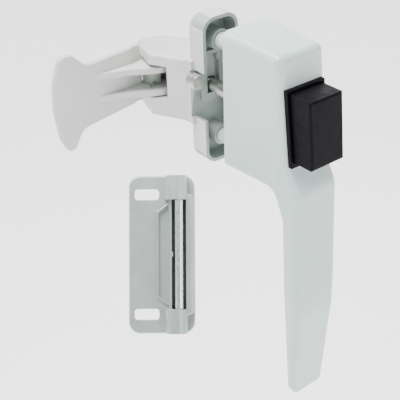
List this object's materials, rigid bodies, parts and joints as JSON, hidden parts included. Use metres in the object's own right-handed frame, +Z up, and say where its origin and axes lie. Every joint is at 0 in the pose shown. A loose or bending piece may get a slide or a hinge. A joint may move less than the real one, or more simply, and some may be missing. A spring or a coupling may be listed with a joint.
{
  "type": "push-button screen door latch set",
  "caption": "Surface door latch: outside pull handle with a push button, inside base with a T-shaped lever and sliding bolt, and a loose roller strike.",
  "frame": {"origin": "On the axis of the push button's plunger, in the plane of the door's outer face (the handle's back rim), midway between the two threaded posts.", "axes": "+X to the right along the door seen from outside, +Y inward through the door to the room, +Z up along the handle."},
  "size_m": [0.0854, 0.1078, 0.1635],
  "materials": {
    "cast_paint": "off-white baked enamel on die-cast zinc",
    "lever_paint": "off-white baked enamel on die-cast zinc",
    "button_plastic": "black moulded plastic, fine texture",
    "strike_metal": "light grey satin enamel",
    "roller_steel": "polished steel",
    "plain_steel": "zinc-plated steel",
    "spring_steel": "drawn spring wire"
  },
  "bodies": {
    "lock_case": {"handle_body": "cast_paint", "button_bezel": "button_plastic", "guide_bracket": "plain_steel", "button_spring": "spring_steel", "inside_base": "lever_paint", "mounting_screws": "plain_steel", "pivot_pin": "plain_steel", "pivot_washers": "plain_steel", "lever_spring": "spring_steel", "lock_detent": "spring_steel", "strike_plate": "strike_metal"},
    "button": {"button_cap": "button_plastic", "plunger": "plain_steel", "spring_seat": "plain_steel"},
    "lever": {"t_lever": "lever_paint"},
    "bolt": {"latch_bolt": "plain_steel"},
    "night_lock": {"lock_slide": "plain_steel"},
    "roller": {"strike_roller": "roller_steel"}
  },
  "joints": [
    {"name": "lever_swing", "type": "hinge", "parent": "lock_case", "child": "lever", "pos_m": [-0.012, 0.05, 0], "axis": [0, 0, 1], "range_deg": [-15.5, 0], "stiffness_Nm_per_rad": 0.12, "springref_deg": 20.05, "deforming": ["lever_spring"]},
    {"name": "push_button", "type": "slide", "parent": "lock_case", "child": "button", "axis": [0, 1, 0], "range_m": [0, 0.00505], "stiffness_N_per_m": 120, "springref_m": -0.006, "deforming": ["button_spring"]},
    {"name": "bolt_slide", "type": "slide", "parent": "lock_case", "child": "bolt", "axis": [1, 0, 0], "range_m": [-0.00505, 0]},
    {"name": "lock_slide", "type": "slide", "parent": "lock_case", "child": "night_lock", "axis": [0, 0, 1], "range_m": [-0.0075, 0]},
    {"name": "roller_spin", "type": "hinge", "parent": "lock_case", "child": "roller", "pos_m": [-0.04326, -0.00687, -0.05472], "axis": [0.373, 0.4461, 0.8135], "continuous": true}
  ],
  "couplings": [
    {"joint": "bolt_slide", "follows": "lever_swing", "m_per_rad": 0.0185},
    {"joint": "push_button", "follows": "lever_swing", "m_per_rad": -0.0185}
  ]
}
